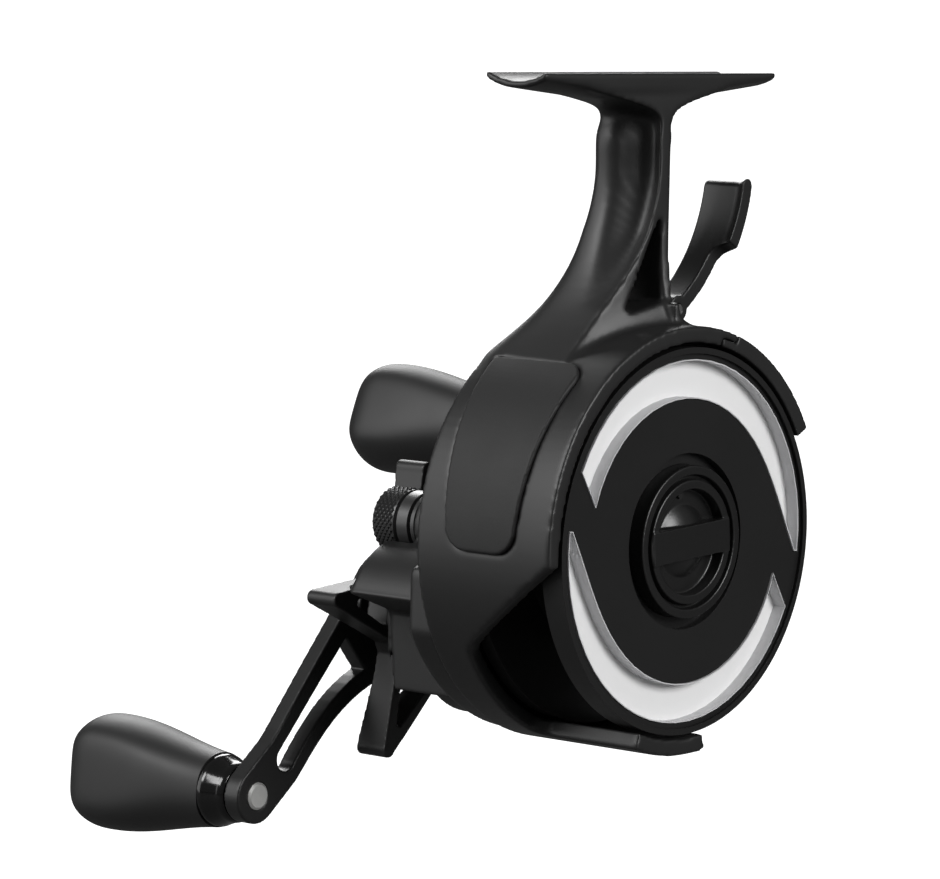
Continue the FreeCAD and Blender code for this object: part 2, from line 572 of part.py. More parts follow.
# Four screws hold the cover on the housing's back wall.
for i, a in enumerate((20.0, 62.0, 104.0, 338.0)):
    sx, sz = polar(SCREW_RING, a)
    cover = cover.fuse(tube(3.0, 1.2, SHELL_Y, COVER_Y - 0.5, sx, sz))
    cover = cover.cut(disc(1.2, SHELL_Y - 1, COVER_Y + 1, sx, sz))
    housing = housing.cut(disc(1.2, SHELL_Y - 2.5, SHELL_Y + 1, sx, sz))
    screw("cover_screw_%d" % (i + 1), sx, COVER_Y, sz, SCREW_R, 1.6, 1.2, COVER_Y - SHELL_Y + 2.3)
NODES["rear_cover"] = cover.removeSplitter()
NODES["housing"] = housing

# ================================================================ crank train
nut_y = ARM_Y + ARM_THICK
crank = disc(CRANK_R, SHELL_Y + 1.5, nut_y + NUT_HIGH - 0.6, 0, CRANK_Z)
NODES["crank_shaft"] = crank
half_tooth = 180.0 / GEAR_TEETH
main = gear(GEAR_TEETH, GEAR_Y, GEAR_Y + GEAR_WIDE, CRANK_R, 0, CRANK_Z, 90.0 + half_tooth)
NODES["main_gear"] = main
drag_y = GEAR_Y + GEAR_WIDE
NODES["drag_washer_fibre"] = tube(DRAG_DISC_R, CRANK_R, drag_y, drag_y + DRAG_DISC, 0, CRANK_Z)
NODES["drag_washer_steel"] = tube(DRAG_DISC_R - 0.6, CRANK_R, drag_y + DRAG_DISC, drag_y + 2 * DRAG_DISC,
                                  0, CRANK_Z)

# Star wheel on the crank's thread: five tapering arms with a window in each.
star_y1 = STAR_Y + STAR_THICK + STAR_FLARE
star = disc(STAR_HUB + 3.6, STAR_Y, star_y1, 0, CRANK_Z)
for i in range(STAR_ARMS):
    root = STAR_TIP + STAR_R * STAR_SPREAD * 0.75
    arm = plate([(STAR_R * 0.25, CRANK_Z - root), (STAR_R - STAR_TIP, CRANK_Z - STAR_TIP),
                 (STAR_R - STAR_TIP, CRANK_Z + STAR_TIP), (STAR_R * 0.25, CRANK_Z + root)],
                STAR_Y, star_y1)
    arm = arm.fuse(disc(STAR_TIP, STAR_Y, star_y1, STAR_R - STAR_TIP, CRANK_Z))
    star = star.fuse(turn(arm, STAR_TURN + 360.0 * i / STAR_ARMS, 0, CRANK_Z))
dish = turned([(0, STAR_Y), (STAR_R + 1, STAR_Y), (STAR_R + 1, star_y1), (STAR_R - 3, star_y1 - 0.3),
               (STAR_HUB + 6, STAR_Y + STAR_THICK), (0, STAR_Y + STAR_THICK)], 0, CRANK_Z)
star = star.common(dish)
for i in range(STAR_ARMS):
    wide = STAR_TIP + (STAR_R - STAR_HOLE_R0) * STAR_SPREAD - STAR_FRAME
    window = plate([(STAR_HOLE_R0, CRANK_Z - wide), (STAR_HOLE_R1, CRANK_Z - 0.5),
                    (STAR_HOLE_R1, CRANK_Z + 0.5), (STAR_HOLE_R0, CRANK_Z + wide)],
                   STAR_Y - 1, star_y1 + 1)
    star = star.cut(turn(window, STAR_TURN + 360.0 * i / STAR_ARMS, 0, CRANK_Z))
star = star.cut(disc(CRANK_R + RUN, STAR_Y - 1, star_y1 + 1, 0, CRANK_Z))
NODES["drag_star"] = star.removeSplitter()
NODES["crank_spacer"] = tube(CRANK_R + 1.8, CRANK_R, STAR_Y + STAR_THICK + SLIP, ARM_Y, 0, CRANK_Z)


# Crank arm: two bowed arms, each split by a long slot.
def arm_mid(u):
    return -ARM_SWEEP * math.sin(math.pi * u / ARM_BOW) if u < ARM_BOW else 0.0


def arm_half(u):
    rest = max(0.0, (ARM_BOW - u) / ARM_BOW)
    return ARM_EYE + ARM_FLARE * rest ** ARM_POWER


def slot_half(u):
    share = (u - SLOT_U0) / (SLOT_U1 - SLOT_U0)
    return arm_half(u) - BEAM_IN - (BEAM_OUT - BEAM_IN) * share


def band(u0, u1, half, steps):
    upper = []
    lower = []
    for i in range(steps + 1):
        u = u0 + (u1 - u0) * i / steps
        upper.append((u, CRANK_Z + arm_mid(u) - half(u)))
        lower.append((u, CRANK_Z + arm_mid(u) + half(u)))
    return plate(upper + lower[::-1], ARM_Y, ARM_Y + ARM_THICK)


arm_y1 = ARM_Y + ARM_THICK
crank_arm = disc(ARM_HUB, ARM_Y, arm_y1, 0, CRANK_Z)
for i in range(2):
    blade = band(8.0, ARM_LONG, arm_half, 14)
    blade = blade.fuse(disc(ARM_EYE, ARM_Y, arm_y1, ARM_LONG, CRANK_Z))
    slot_r = slot_half(SLOT_U1 - 2.0)
    cut = band(SLOT_U0, SLOT_U1 - slot_r, slot_half, 10)
    cut = cut.fuse(disc(slot_r, ARM_Y, arm_y1, SLOT_U1 - slot_r, CRANK_Z))
    blade = blade.cut(cut)
    crank_arm = crank_arm.fuse(turn(blade, ARM_TURN + 180.0 * i, 0, CRANK_Z))
    ex, ez = polar(ARM_LONG, ARM_TURN + 180.0 * i, 0, CRANK_Z)
    crank_arm = crank_arm.cut(disc(RIVET_R, ARM_Y - 1, arm_y1 + 1, ex, ez))
crank_arm = crank_arm.cut(disc(CRANK_R, ARM_Y - 1, arm_y1 + 1, 0, CRANK_Z))
NODES["crank_arm"] = crank_arm.removeSplitter()
hexagon = plate([polar(NUT_R, 60.0 * k, 0, CRANK_Z) for k in range(6)], nut_y, nut_y + NUT_HIGH)
nut_dome = turned([(0, nut_y), (NUT_R, nut_y), (NUT_R, nut_y + NUT_HIGH - 1.4),
                   (NUT_R - 1.6, nut_y + NUT_HIGH), (0, nut_y + NUT_HIGH)], 0, CRANK_Z)
NODES["crank_nut"] = hexagon.common(nut_dome).cut(disc(CRANK_R, nut_y - 1, nut_y + NUT_HIGH - 0.6, 0, CRANK_Z))


# ================================================================ handle knobs
def knob_radius(v):
    """Grip radius at a distance from the seam."""
    if v <= KNOB_FAT:
        share = v / KNOB_FAT
        return KNOB_R0 + (KNOB_R1 - KNOB_R0) * (1.0 - math.cos(math.pi * share)) / 2.0
    share = (v - KNOB_FAT) / (KNOB_LONG - KNOB_FAT)
    return KNOB_R1 * math.sqrt(max(0.0, 1.0 - share ** 2.3))


for i in range(2):
    ex, ez = polar(ARM_LONG, ARM_TURN + 180.0 * i, 0, CRANK_Z)
    post_end = KNOB_Y + KNOB_LONG - 6.0
    post = turned([(0, ARM_Y - RIVET_PROUD), (RIVET_R - 0.4, ARM_Y - RIVET_PROUD), (RIVET_R, ARM_Y),
                   (RIVET_R, arm_y1), (POST_R, arm_y1), (POST_R, post_end), (0, post_end)], ex, ez)
    NODES["knob_post_%d" % (i + 1)] = post
    collar = turned([(POST_R + RUN, arm_y1 + SLIP), (COLLAR_WAIST - 0.4, arm_y1 + SLIP),
                     (COLLAR_WAIST, arm_y1 + 0.9), (COLLAR_WAIST + 0.2, arm_y1 + 2.0),
                     (COLLAR_R - 0.3, KNOB_Y - 1.6), (COLLAR_R, KNOB_Y - 0.9), (COLLAR_R, KNOB_Y),
                     (POST_R + RUN, KNOB_Y)], ex, ez)
    NODES["knob_collar_%d" % (i + 1)] = collar
    rows = 11
    outline = [(POST_R + RUN, KNOB_Y)]
    for k in range(rows + 1):
        v = KNOB_LONG * (1.0 - (1.0 - k / rows) ** 1.5)
        outline.append((knob_radius(v), KNOB_Y + v))
    outline.append((0.0, KNOB_Y + KNOB_LONG))
    outline = [p for k, p in enumerate(outline) if k == 0 or p != outline[k - 1]]
    outline.append((0.0, post_end + SLIP))
    outline.append((POST_R + RUN, post_end + SLIP))
    NODES["knob_%d" % (i + 1)] = turned(outline, ex, ez)

# ================================================================ brake knob and its plunger
ring_y = BOSS_Y + SLIP
collar_y = ring_y + BRAKE_RING
knurl_y = BRAKE_Y1 - KNURL_LONG
stem_end = BOSS_Y - 6.0
knob = turned([(0, stem_end), (BRAKE_STEM, stem_end), (BRAKE_STEM, ring_y), (BRAKE_R - 1.0, ring_y),
               (BRAKE_R - 0.6, ring_y + 0.4), (BRAKE_R - 0.6, collar_y), (BRAKE_R - 1.0, collar_y),
               (BRAKE_R - 1.0, collar_y + 0.3), (BRAKE_R - 0.4, collar_y + 0.6),
               (BRAKE_R - 0.3, knurl_y - 0.4), (BRAKE_R - 0.8, knurl_y - 0.3), (BRAKE_R - 0.8, knurl_y),
               (BRAKE_R - 0.3, knurl_y), (BRAKE_R, knurl_y + 0.4), (BRAKE_R, BRAKE_Y1 - 0.5),
               (BRAKE_R - 0.6, BRAKE_Y1), (0, BRAKE_Y1)], BRAKE_X, BRAKE_Z)
NODES["brake_knob"] = knob
plunger = disc(PLUNGER_R, PLUNGER_Y, BOSS_Y - 3.5, BRAKE_X, BRAKE_Z)
plunger = plunger.cut(disc(BRAKE_STEM + RUN, stem_end - 2.5, BOSS_Y, BRAKE_X, BRAKE_Z))
NODES["brake_plunger"] = plunger.cut(disc(PLUNGER_R - 0.8, PLUNGER_Y - 1, PLUNGER_Y + 1.5, BRAKE_X, BRAKE_Z))
NODES["brake_magnet"] = disc(PLUNGER_R - 0.8, PLUNGER_Y, PLUNGER_Y + 1.5, BRAKE_X, BRAKE_Z)

# ================================================================ export
seat = V(0, -(FOOT_Y0 + FOOT_DEEP / 2.0), -(FOOT_Z - FOOT_LAND))
for name in NODES:
    shape = NODES[name]
    shape.translate(seat)
    if len(shape.Solids) != 1 or not shape.isValid():
        print("check", name, len(shape.Solids), shape.isValid())
    if shape.ShapeType != "Solid" and len(shape.Solids) == 1:
        shape = shape.Solids[0]
    shape.exportStep("parts/%s.step" % name)
    print(name, round(shape.Volume, 1))
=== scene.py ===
import bpy, bmesh
import math
import numpy as np
from mathutils import Matrix, Vector


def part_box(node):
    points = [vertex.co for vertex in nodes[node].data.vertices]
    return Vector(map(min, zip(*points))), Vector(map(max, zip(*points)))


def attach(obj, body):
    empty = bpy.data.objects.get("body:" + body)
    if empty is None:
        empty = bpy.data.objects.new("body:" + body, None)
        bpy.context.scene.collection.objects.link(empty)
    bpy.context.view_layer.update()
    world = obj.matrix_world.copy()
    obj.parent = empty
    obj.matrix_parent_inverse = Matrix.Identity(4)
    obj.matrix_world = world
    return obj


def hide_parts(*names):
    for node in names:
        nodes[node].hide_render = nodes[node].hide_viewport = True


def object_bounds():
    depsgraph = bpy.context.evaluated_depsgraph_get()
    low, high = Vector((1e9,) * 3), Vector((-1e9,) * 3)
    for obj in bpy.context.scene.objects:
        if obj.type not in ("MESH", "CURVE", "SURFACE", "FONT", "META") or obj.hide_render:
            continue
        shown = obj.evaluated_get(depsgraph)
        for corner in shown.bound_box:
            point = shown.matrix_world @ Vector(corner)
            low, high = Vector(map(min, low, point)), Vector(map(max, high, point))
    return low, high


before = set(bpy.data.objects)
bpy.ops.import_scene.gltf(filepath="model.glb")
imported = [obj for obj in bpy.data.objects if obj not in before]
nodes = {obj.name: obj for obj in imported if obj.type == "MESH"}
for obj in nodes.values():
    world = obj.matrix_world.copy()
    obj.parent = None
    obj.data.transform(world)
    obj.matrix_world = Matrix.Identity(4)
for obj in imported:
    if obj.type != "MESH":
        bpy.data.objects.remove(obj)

cad_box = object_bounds()


# ---------------------------------------------------------------- moulded frame
# Ring housing, stem and foot are one moulding of black glass-filled composite.  The
# mould softens its edges and leaves a fine grain.  The stem is drawn in along its left
# side, between a thin rim in front and a round back.
MM = 0.001
studio = bpy.context.scene.collection


def placed(piece, mesh):
    """An object at the origin that carries a piece's mesh."""
    result = bpy.data.objects.new(piece, mesh)
    studio.objects.link(result)
    return result


def merged_copy(node, flat=None):
    """A CAD node's mesh, copied, with the corners of its loose triangles merged."""
    mesh = nodes[node].data.copy()
    mesh.materials.clear()
    work = bmesh.new()
    work.from_mesh(mesh)
    bmesh.ops.remove_doubles(work, verts=work.verts, dist=0.002 * MM)
    if flat:
        bmesh.ops.dissolve_limit(work, angle_limit=flat, verts=work.verts, edges=work.edges)
    work.to_mesh(mesh)
    work.free()
    return mesh


def worked(raw, piece):
    """The plain mesh that an object's modifiers leave, as a piece of its own."""
    bpy.context.view_layer.update()
    depsgraph = bpy.context.evaluated_depsgraph_get()
    done = bpy.data.meshes.new_from_object(raw.evaluated_get(depsgraph))
    bpy.data.objects.remove(raw)
    done.name = piece
    return placed(piece, done)


def softened(node, piece, voxel, rounds, shaping=None):
    """A copy of a CAD node with its edges rounded as a mould rounds them."""
    mesh = merged_copy(node)
    if shaping:
        shaping(mesh)
    rough = placed(piece + "_rough", mesh)
    cast = rough.modifiers.new("cast", "REMESH")
    cast.mode = "VOXEL"
    cast.voxel_size = voxel * MM
    ease = rough.modifiers.new("ease", "SMOOTH")
    ease.factor = 0.5
    ease.iterations = rounds
    result = worked(rough, piece)
    result.data.shade_smooth()
    return result


def grain_group():
    """Height of a moulded skin's grain, and slow patches where hands have polished it."""
    group = bpy.data.node_groups.new("moulded_skin", "ShaderNodeTree")
    socket = group.interface.new_socket
    for name, value in (("Grain per metre", 4000.0), ("Patch per metre", 60.0)):
        socket(name, in_out="INPUT", socket_type="NodeSocketFloat").default_value = value
    for name in ("Height", "Patches"):
        socket(name, in_out="OUTPUT", socket_type="NodeSocketFloat")
    made = group.nodes
    enter = made.new("NodeGroupInput")
    leave = made.new("NodeGroupOutput")
    place = made.new("ShaderNodeTexCoord")
    fine = made.new("ShaderNodeTexNoise")
    fine.inputs["Detail"].default_value = 2.0
    slow = made.new("ShaderNodeTexNoise")
    slow.inputs["Detail"].default_value = 4.0
    slow.inputs["Roughness"].default_value = 0.6
    link = group.links.new
    link(place.outputs["Object"], fine.inputs["Vector"])
    link(place.outputs["Object"], slow.inputs["Vector"])
    link(enter.outputs["Grain per metre"], fine.inputs["Scale"])
    link(enter.outputs["Patch per metre"], slow.inputs["Scale"])
    link(fine.outputs["Fac"], leave.inputs["Height"])
    link(slow.outputs["Fac"], leave.inputs["Patches"])
    return group


moulded_skin = grain_group()


def skin(name, dark, light, dull, shiny, grain, deep, patch=60.0, metal=0.0):
    """A finish whose colour and gloss drift between two values under a fine grain."""
    finish = bpy.data.materials.new(name)
    finish.use_nodes = True
    tree = finish.node_tree
    shader = tree.nodes["Principled BSDF"]
    group = tree.nodes.new("ShaderNodeGroup")
    group.node_tree = moulded_skin
    group.inputs["Grain per metre"].default_value = grain
    group.inputs["Patch per metre"].default_value = patch
    tint = tree.nodes.new("ShaderNodeMix")
    tint.data_type = "RGBA"
    tint.inputs["A"].default_value = (*dark, 1.0)
    tint.inputs["B"].default_value = (*light, 1.0)
    gloss = tree.nodes.new("ShaderNodeMapRange")
    gloss.inputs["From Min"].default_value = 0.3
    gloss.inputs["From Max"].default_value = 0.7
    gloss.inputs["To Min"].default_value = dull
    gloss.inputs["To Max"].default_value = shiny
    bump = tree.nodes.new("ShaderNodeBump")
    bump.inputs["Distance"].default_value = deep * MM
    bump.inputs["Strength"].default_value = 1.0
    link = tree.links.new
    link(group.outputs["Patches"], tint.inputs["Factor"])
    link(group.outputs["Patches"], gloss.inputs["Value"])
    link(group.outputs["Height"], bump.inputs["Height"])
    link(tint.outputs["Result"], shader.inputs["Base Color"])
    link(gloss.outputs["Result"], shader.inputs["Roughness"])
    link(bump.outputs["Normal"], shader.inputs["Normal"])
    shader.inputs["Metallic"].default_value = metal
    return finish


def dress(piece, finish, body, slot, *stands_for):
    """Give a piece its finish and body, and hide the CAD nodes that it stands for.  The slot is not
    used.
    """
    piece.data.materials.clear()
    piece.data.materials.append(finish)
    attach(piece, body)
    if stands_for:
        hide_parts(*stands_for)


def clamped(value):
    return min(1.0, max(0.0, value))


def spread(push, mesh, rounds, share):
    """Even out a push, given per vertex, over the mesh's edges, so that it has no steps."""
    ends = np.empty(len(mesh.edges) * 2, dtype=np.int32)
    mesh.edges.foreach_get("vertices", ends)
    first, second = ends[0::2], ends[1::2]
    count = len(push)
    joined = np.maximum(np.bincount(ends, minlength=count), 1)
    for _ in range(rounds):
        for axis in (0, 1):
            total = np.bincount(first, push[second, axis], count)
            total += np.bincount(second, push[first, axis], count)
            push[:, axis] = (1.0 - share) * push[:, axis] + share * total / joined


# Heights are measured down from the foot's top, and all of these are in millimetres.
stem_from, stem_to = 3.0, 38.0
fade_in, fade_out = 6.0, 12.0
channel_y, channel_half, channel_deep = -3.0, 3.2, 3.0
rim_edge, rim_from, rim_lean = 1.2, 14.0, 0.05
back_y, back_fill = -1.0, 1.2
back_way = np.array((-0.66, 0.75))


def hollow_stem(mesh):
    """A channel down the stem's left side, and a little more on its round back."""
    foot_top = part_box("housing")[1].z
    push = np.zeros((len(mesh.vertices), 2))
    for v in mesh.vertices:
        down = (foot_top - v.co.z) / MM
        if not stem_from < down < stem_to:
            continue
        fade = clamped((down - stem_from) / fade_in) * clamped((stem_to - down) / fade_out)
        across = (v.co.y / MM - channel_y) / channel_half
        if abs(across) < 1.0:
            clear = clamped((-rim_lean * max(0.0, down - rim_from) - v.co.x / MM) / rim_edge)
            hollow = channel_deep * fade * clear * (1.0 - across * across)
            push[v.index, 0] = hollow * clamped(-1.8 * v.normal.x)
        if v.co.y > back_y * MM:
            facing = back_way[0] * v.normal.x + back_way[1] * v.normal.y
            push[v.index] += back_way * back_fill * fade * clamped(1.4 * facing - 0.3)
    spread(push, mesh, 14, 0.6)
    for v in mesh.vertices:
        v.co.x += push[v.index, 0] * MM
        v.co.y += push[v.index, 1] * MM


composite = skin("black_composite", (0.009, 0.009, 0.009), (0.013, 0.013, 0.013),
                 0.48, 0.42, 3200.0, 0.004)
frame_skin = softened("housing", "housing_moulding", 0.5, 2)
hollow_stem(frame_skin.data)
dress(frame_skin, composite, "frame", "frame_black", "housing")


# ---------------------------------------------------------------- line guard
# A loose arc of the same composite closes the ring over the line's exit and snaps in
# at a stepped seam.
guard = softened("line_guard", "line_guard_arc", 0.3, 2)
dress(guard, composite, "frame", "frame_black", "line_guard")


# ---------------------------------------------------------------- thumb pad
# A rough soft-touch insert, where the thumb rests.  It is moulded by itself and let
# into a shallow recess in the upper left of the ring.
pad_grip = skin("pad_grip", (0.005, 0.005, 0.005), (0.007, 0.007, 0.007),
                0.66, 0.60, 2200.0, 0.015)
pad = softened("thumb_pad", "thumb_pad_insert", 0.25, 3)
dress(pad, pad_grip, "frame", "pad_black", "thumb_pad")


# ---------------------------------------------------------------- trigger
# A curved lever of black composite with a broad paddle for the forefinger, on a steel
# pin.  Its blade follows one arc.  The neck widens into the paddle with a round, and
# the paddle's near edge curls up into a lip.
trigger_skin = skin("trigger_composite", (0.009, 0.009, 0.009), (0.013, 0.013, 0.013),
                    0.44, 0.38, 3200.0, 0.004)
lever_low, lever_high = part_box("trigger")
bend_x, bend_z, bend_r = -9.40 * MM, lever_high.z + 3.80 * MM, 28.65 * MM
blade = 2.5 * MM
neck_y = lever_low.y + 4.0 * MM
step_z = lever_high.z - 10.65 * MM
notch_r = 3.0
notch_bite = (0.3, 0.5)
lip_wide = 2.4 * MM
lip_curl = 1.0 * MM
lip_horn = 0.5 * MM


def round_notch(mesh):
    """The round under the paddle, where the neck widens into it."""
    step_angle = math.asin((step_z - bend_z) / bend_r)
    bite_y, bite_up = notch_bite
    turns = [math.radians(11.25 * i) for i in range(9)]
    outline = [(bite_y, bite_up), (bite_y, -notch_r)]
    outline += [(notch_r * (math.cos(a) - 1.0), notch_r * (math.sin(a) - 1.0)) for a in turns]
    outline += [(-notch_r, bite_up)]
    work = bmesh.new()
    work.from_mesh(mesh)
    sides = []
    for reach in (bend_r - blade / 2.0, bend_r + blade / 2.0):
        side = []
        for y, up in outline:
            a = step_angle + up * MM / bend_r
            side.append(work.verts.new((bend_x + reach * math.cos(a), neck_y + y * MM,
                                        bend_z + reach * math.sin(a))))
        sides.append(side)
    inner, outer = sides
    wedge = [work.faces.new(inner), work.faces.new(outer[::-1])]
    for i in range(len(outline)):
        j = (i + 1) % len(outline)
        wedge.append(work.faces.new((inner[j], inner[i], outer[i], outer[j])))
    bmesh.ops.recalc_face_normals(work, faces=wedge)
    bmesh.ops.triangulate(work, faces=wedge)
    work.to_mesh(mesh)
    work.free()


def curl_lip(mesh):
    """Bend the paddle's near edge towards the inside of the arc, most at its tip."""
    for v in mesh.vertices:
        near = (lever_low.y + lip_wide - v.co.y) / lip_wide
        if near > 0.0:
            a = math.atan2(v.co.z - bend_z, v.co.x - bend_x)
            tip = clamped(((v.co.z - lever_high.z) / MM + 2.5) / 2.0)
            v.co.x -= lip_curl * near * near * math.cos(a)
            v.co.z += (lip_horn * tip - lip_curl * math.sin(a)) * near * near


lever = softened("trigger", "trigger_lever", 0.22, 3, round_notch)
curl_lip(lever.data)
dress(lever, trigger_skin, "trigger", "trigger_black", "trigger")


# ---------------------------------------------------------------- rear cover and gear case
# The cover is a plate of the same composite that four screws hold on the housing's back.
# The case bulges out of it over the gears, with a flared boss round the crank and a bay
# beside it whose underside slopes.
cover = softened("rear_cover", "rear_cover_plate", 0.5, 2)
dress(cover, composite, "frame", "frame_black", "rear_cover")
case_low, case_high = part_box("gear_case")
boss_y = case_high.y - 4.9 * MM
boss_from, boss_to = 5.4 * MM, 9.5 * MM
boss_root, boss_draft = 11.8 * MM, 0.7
bay_x, bay_z, bay_r = case_low.x + 12.8 * MM, case_high.z - 23.1 * MM, 12.0 * MM
bay_end_x = case_low.x + 11.4 * MM
bay_under_z, bay_slope = case_high.z - 18.6 * MM, 0.38
bay_wall, bay_end_wall = 1.7 * MM, 1.9 * MM
bay_floor_y = case_high.y - 2.2 * MM


def middle(node):
    """The middle of a CAD node's box."""
    low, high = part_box(node)
    return (low + high) / 2.0


def trim_bay(mesh):
    """Slope the underside of the bay beside the gears, and flare the crank's boss."""
    crank = middle("crank_shaft")
    for v in mesh.vertices:
        off_x = v.co.x - crank.x
        off_z = v.co.z - crank.z
        off = math.hypot(off_x, off_z)
        if v.co.y > boss_y and boss_from < off < boss_to:
            flare = (boss_root - boss_draft * (v.co.y - boss_y)) / off
            v.co.x = crank.x + off_x * flare
            v.co.z = crank.z + off_z * flare
        inside = v.co.y < bay_floor_y and math.hypot(v.co.x - bay_x, v.co.z - bay_z) < bay_r
        if v.co.x < bay_end_x + (bay_end_wall if inside else 0.0):
            under = bay_under_z - bay_slope * (v.co.x - case_low.x)
            v.co.z = max(v.co.z, under + (bay_wall if inside else 0.0))


case = softened("gear_case", "gear_case_shell", 0.4, 3, trim_bay)
dress(case, composite, "frame", "frame_black", "gear_case")


# ---------------------------------------------------------------- spool
# A turned spool of satin black aluminium.  Its face has two crescent pockets and a
# grooved hub, and every edge has a small radius left by the polishing.
def eased(node, piece, width):
    """A copy of a CAD node with a narrow round along its sharp edges."""
    mesh = merged_copy(node, flat=math.radians(1.0))
    mesh.shade_smooth()
    sharp = placed(piece + "_sharp", mesh)
    edge = sharp.modifiers.new("edge", "BEVEL")
    edge.width = width * MM
    edge.segments = 3
    edge.limit_method = "ANGLE"
    edge.angle_limit = math.radians(28.0)
    edge.harden_normals = True
    level = sharp.modifiers.new("level", "WEIGHTED_NORMAL")
    level.mode = "FACE_AREA"
    level.weight = 90
    return worked(sharp, piece)


spool_satin = skin("spool_satin", (0.006, 0.006, 0.006), (0.009, 0.009, 0.009),
                   0.42, 0.36, 5000.0, 0.001)
spool_turned = eased("spool", "spool_turned", 0.25)
dress(spool_turned, spool_satin, "spool", "spool_black", "spool")


# ---------------------------------------------------------------- white crescents
# Two white moulded trays lie in the spool's pockets.  Their floors are the flat nodes,
# and a thin wall stands up from each floor's outline to just below the spool's face.
# The walls are the same white plastic, coloured grey as painted shade inside the pockets.
white = skin("white_enamel", (0.84, 0.84, 0.84), (0.88, 0.88, 0.88),
             0.50, 0.44, 3000.0, 0.001)
# Painted shade: the walls get a darker copy of the white, for the shade inside the pocket.
shaded_wall_white = skin("white_wall_painted_shade", (0.58, 0.58, 0.59), (0.62, 0.62, 0.63),
                  0.50, 0.44, 3000.0, 0.001)
wall_thick = 0.18 * MM
wall_top_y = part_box("spool")[0].y + 0.3 * MM


def paint(node, finish):
    """Give a CAD node that is shown as it is its finish."""
    part = nodes[node]
    part.data.materials.clear()
    part.data.materials.append(finish)


def tray_wall(node, piece):
    """A wall along the outline of a flat node's front, as high as the pocket is deep."""
    work = bmesh.new()
    work.from_mesh(nodes[node].data)
    bmesh.ops.remove_doubles(work, verts=work.verts, dist=0.002 * MM)
    front_y = min(v.co.y for v in work.verts)
    front = {f for f in work.faces if all(v.co.y < front_y + 0.01 * MM for v in f.verts)}
    rim = [(e, next(f for f in e.link_faces if f in front)) for e in work.edges
           if sum(f in front for f in e.link_faces) == 1]
    inward = {}
    for edge, face in rim:
        along = (edge.verts[1].co - edge.verts[0].co).normalized()
        side = along.cross(Vector((0, 1, 0)))
        if side.dot(face.calc_center_median() - edge.verts[0].co) < 0:
            side.negate()
        for v in edge.verts:
            inward[v] = inward.get(v, Vector()) + side
    wall = bmesh.new()
    rings = {}
    for v, side in inward.items():
        back = v.co + side.normalized() * wall_thick
        corners = ((v.co, front_y), (v.co, wall_top_y), (back, wall_top_y), (back, front_y))
        rings[v] = [wall.verts.new(Vector((p.x, y, p.z))) for p, y in corners]
    for edge, face in rim:
        first, second = (rings[v] for v in edge.verts)
        for k in range(4):
            n = (k + 1) % 4
            wall.faces.new((first[k], first[n], second[n], second[k]))
    bmesh.ops.recalc_face_normals(wall, faces=wall.faces)
    mesh = bpy.data.meshes.new(piece)
    wall.to_mesh(mesh)
    wall.free()
    work.free()
    mesh.shade_smooth()
    mesh.set_sharp_from_angle(angle=math.radians(40.0))
    return placed(piece, mesh)


for which in ("1", "2"):
    paint("white_inlay_" + which, white)
    wall = tray_wall("white_inlay_" + which, "white_tray_wall_" + which)
    dress(wall, shaded_wall_white, "spool", "inlay_white")


# ---------------------------------------------------------------- spool cap
# A moulded cap of black composite with two raised rings, a low dome and a bare bar
# across it.  It is pressed into its seat in the middle of the spool's face.
cap_skin = skin("cap_composite", (0.007, 0.007, 0.007), (0.011, 0.011, 0.011),
                0.34, 0.28, 4000.0, 0.002)
cap = softened("spool_cap", "spool_cap_moulding", 0.16, 2)
dress(cap, cap_skin, "spool", "cap_black", "spool_cap")


# ---------------------------------------------------------------- drag star
# Five tapering arms with a window in each, moulded of black composite in one with the
# threaded hub that presses the drag washers together.
star = softened("drag_star", "drag_star_wheel", 0.26, 2)
dress(star, composite, "star", "star_black", "drag_star")


# ---------------------------------------------------------------- crank arm
# A slotted double arm cut from black aluminium plate, with a soft edge all round.  A
# nut holds it on the crank's shaft.
arm_finish = skin("arm_black", (0.008, 0.008, 0.008), (0.012, 0.012, 0.012),
                  0.42, 0.36, 4000.0, 0.002)
arm = softened("crank_arm", "crank_arm_plate", 0.25, 2)
dress(arm, arm_finish, "crank", "arm_black", "crank_arm")


# ---------------------------------------------------------------- handle knobs
# Each grip is soft-touch rubber moulded over a core.  It is round at the collar and
# swells outwards, with two soft flats for the fingers that fade in along its length.
grip = skin("grip_rubber", (0.010, 0.010, 0.010), (0.014, 0.014, 0.014),
            0.54, 0.48, 2600.0, 0.006)
grip_neck = 0.64        # the neck's radius, as a share of the full one
grip_fullest = 0.74     # the fullest place, as a share of the length
grip_around, grip_along = 96, 56


def wrapped(rings, piece, crease, capped=False):
    """A closed skin over rings of points, each of which is joined to the next."""
    work = bmesh.new()
    loops = [[work.verts.new(point) for point in ring] for ring in rings]
    for first, second in zip(loops, loops[1:]):
        for k in range(len(first)):
            n = (k + 1) % len(first)
            work.faces.new((first[k], first[n], second[n], second[k]))
    bmesh.ops.remove_doubles(work, verts=work.verts, dist=0.001 * MM)
    if capped:
        work.faces.new(loops[0])
    bmesh.ops.recalc_face_normals(work, faces=work.faces)
    mesh = bpy.data.meshes.new(piece)
    work.to_mesh(mesh)
    work.free()
    mesh.shade_smooth()
    mesh.set_sharp_from_angle(angle=math.radians(crease))
    return placed(piece, mesh)


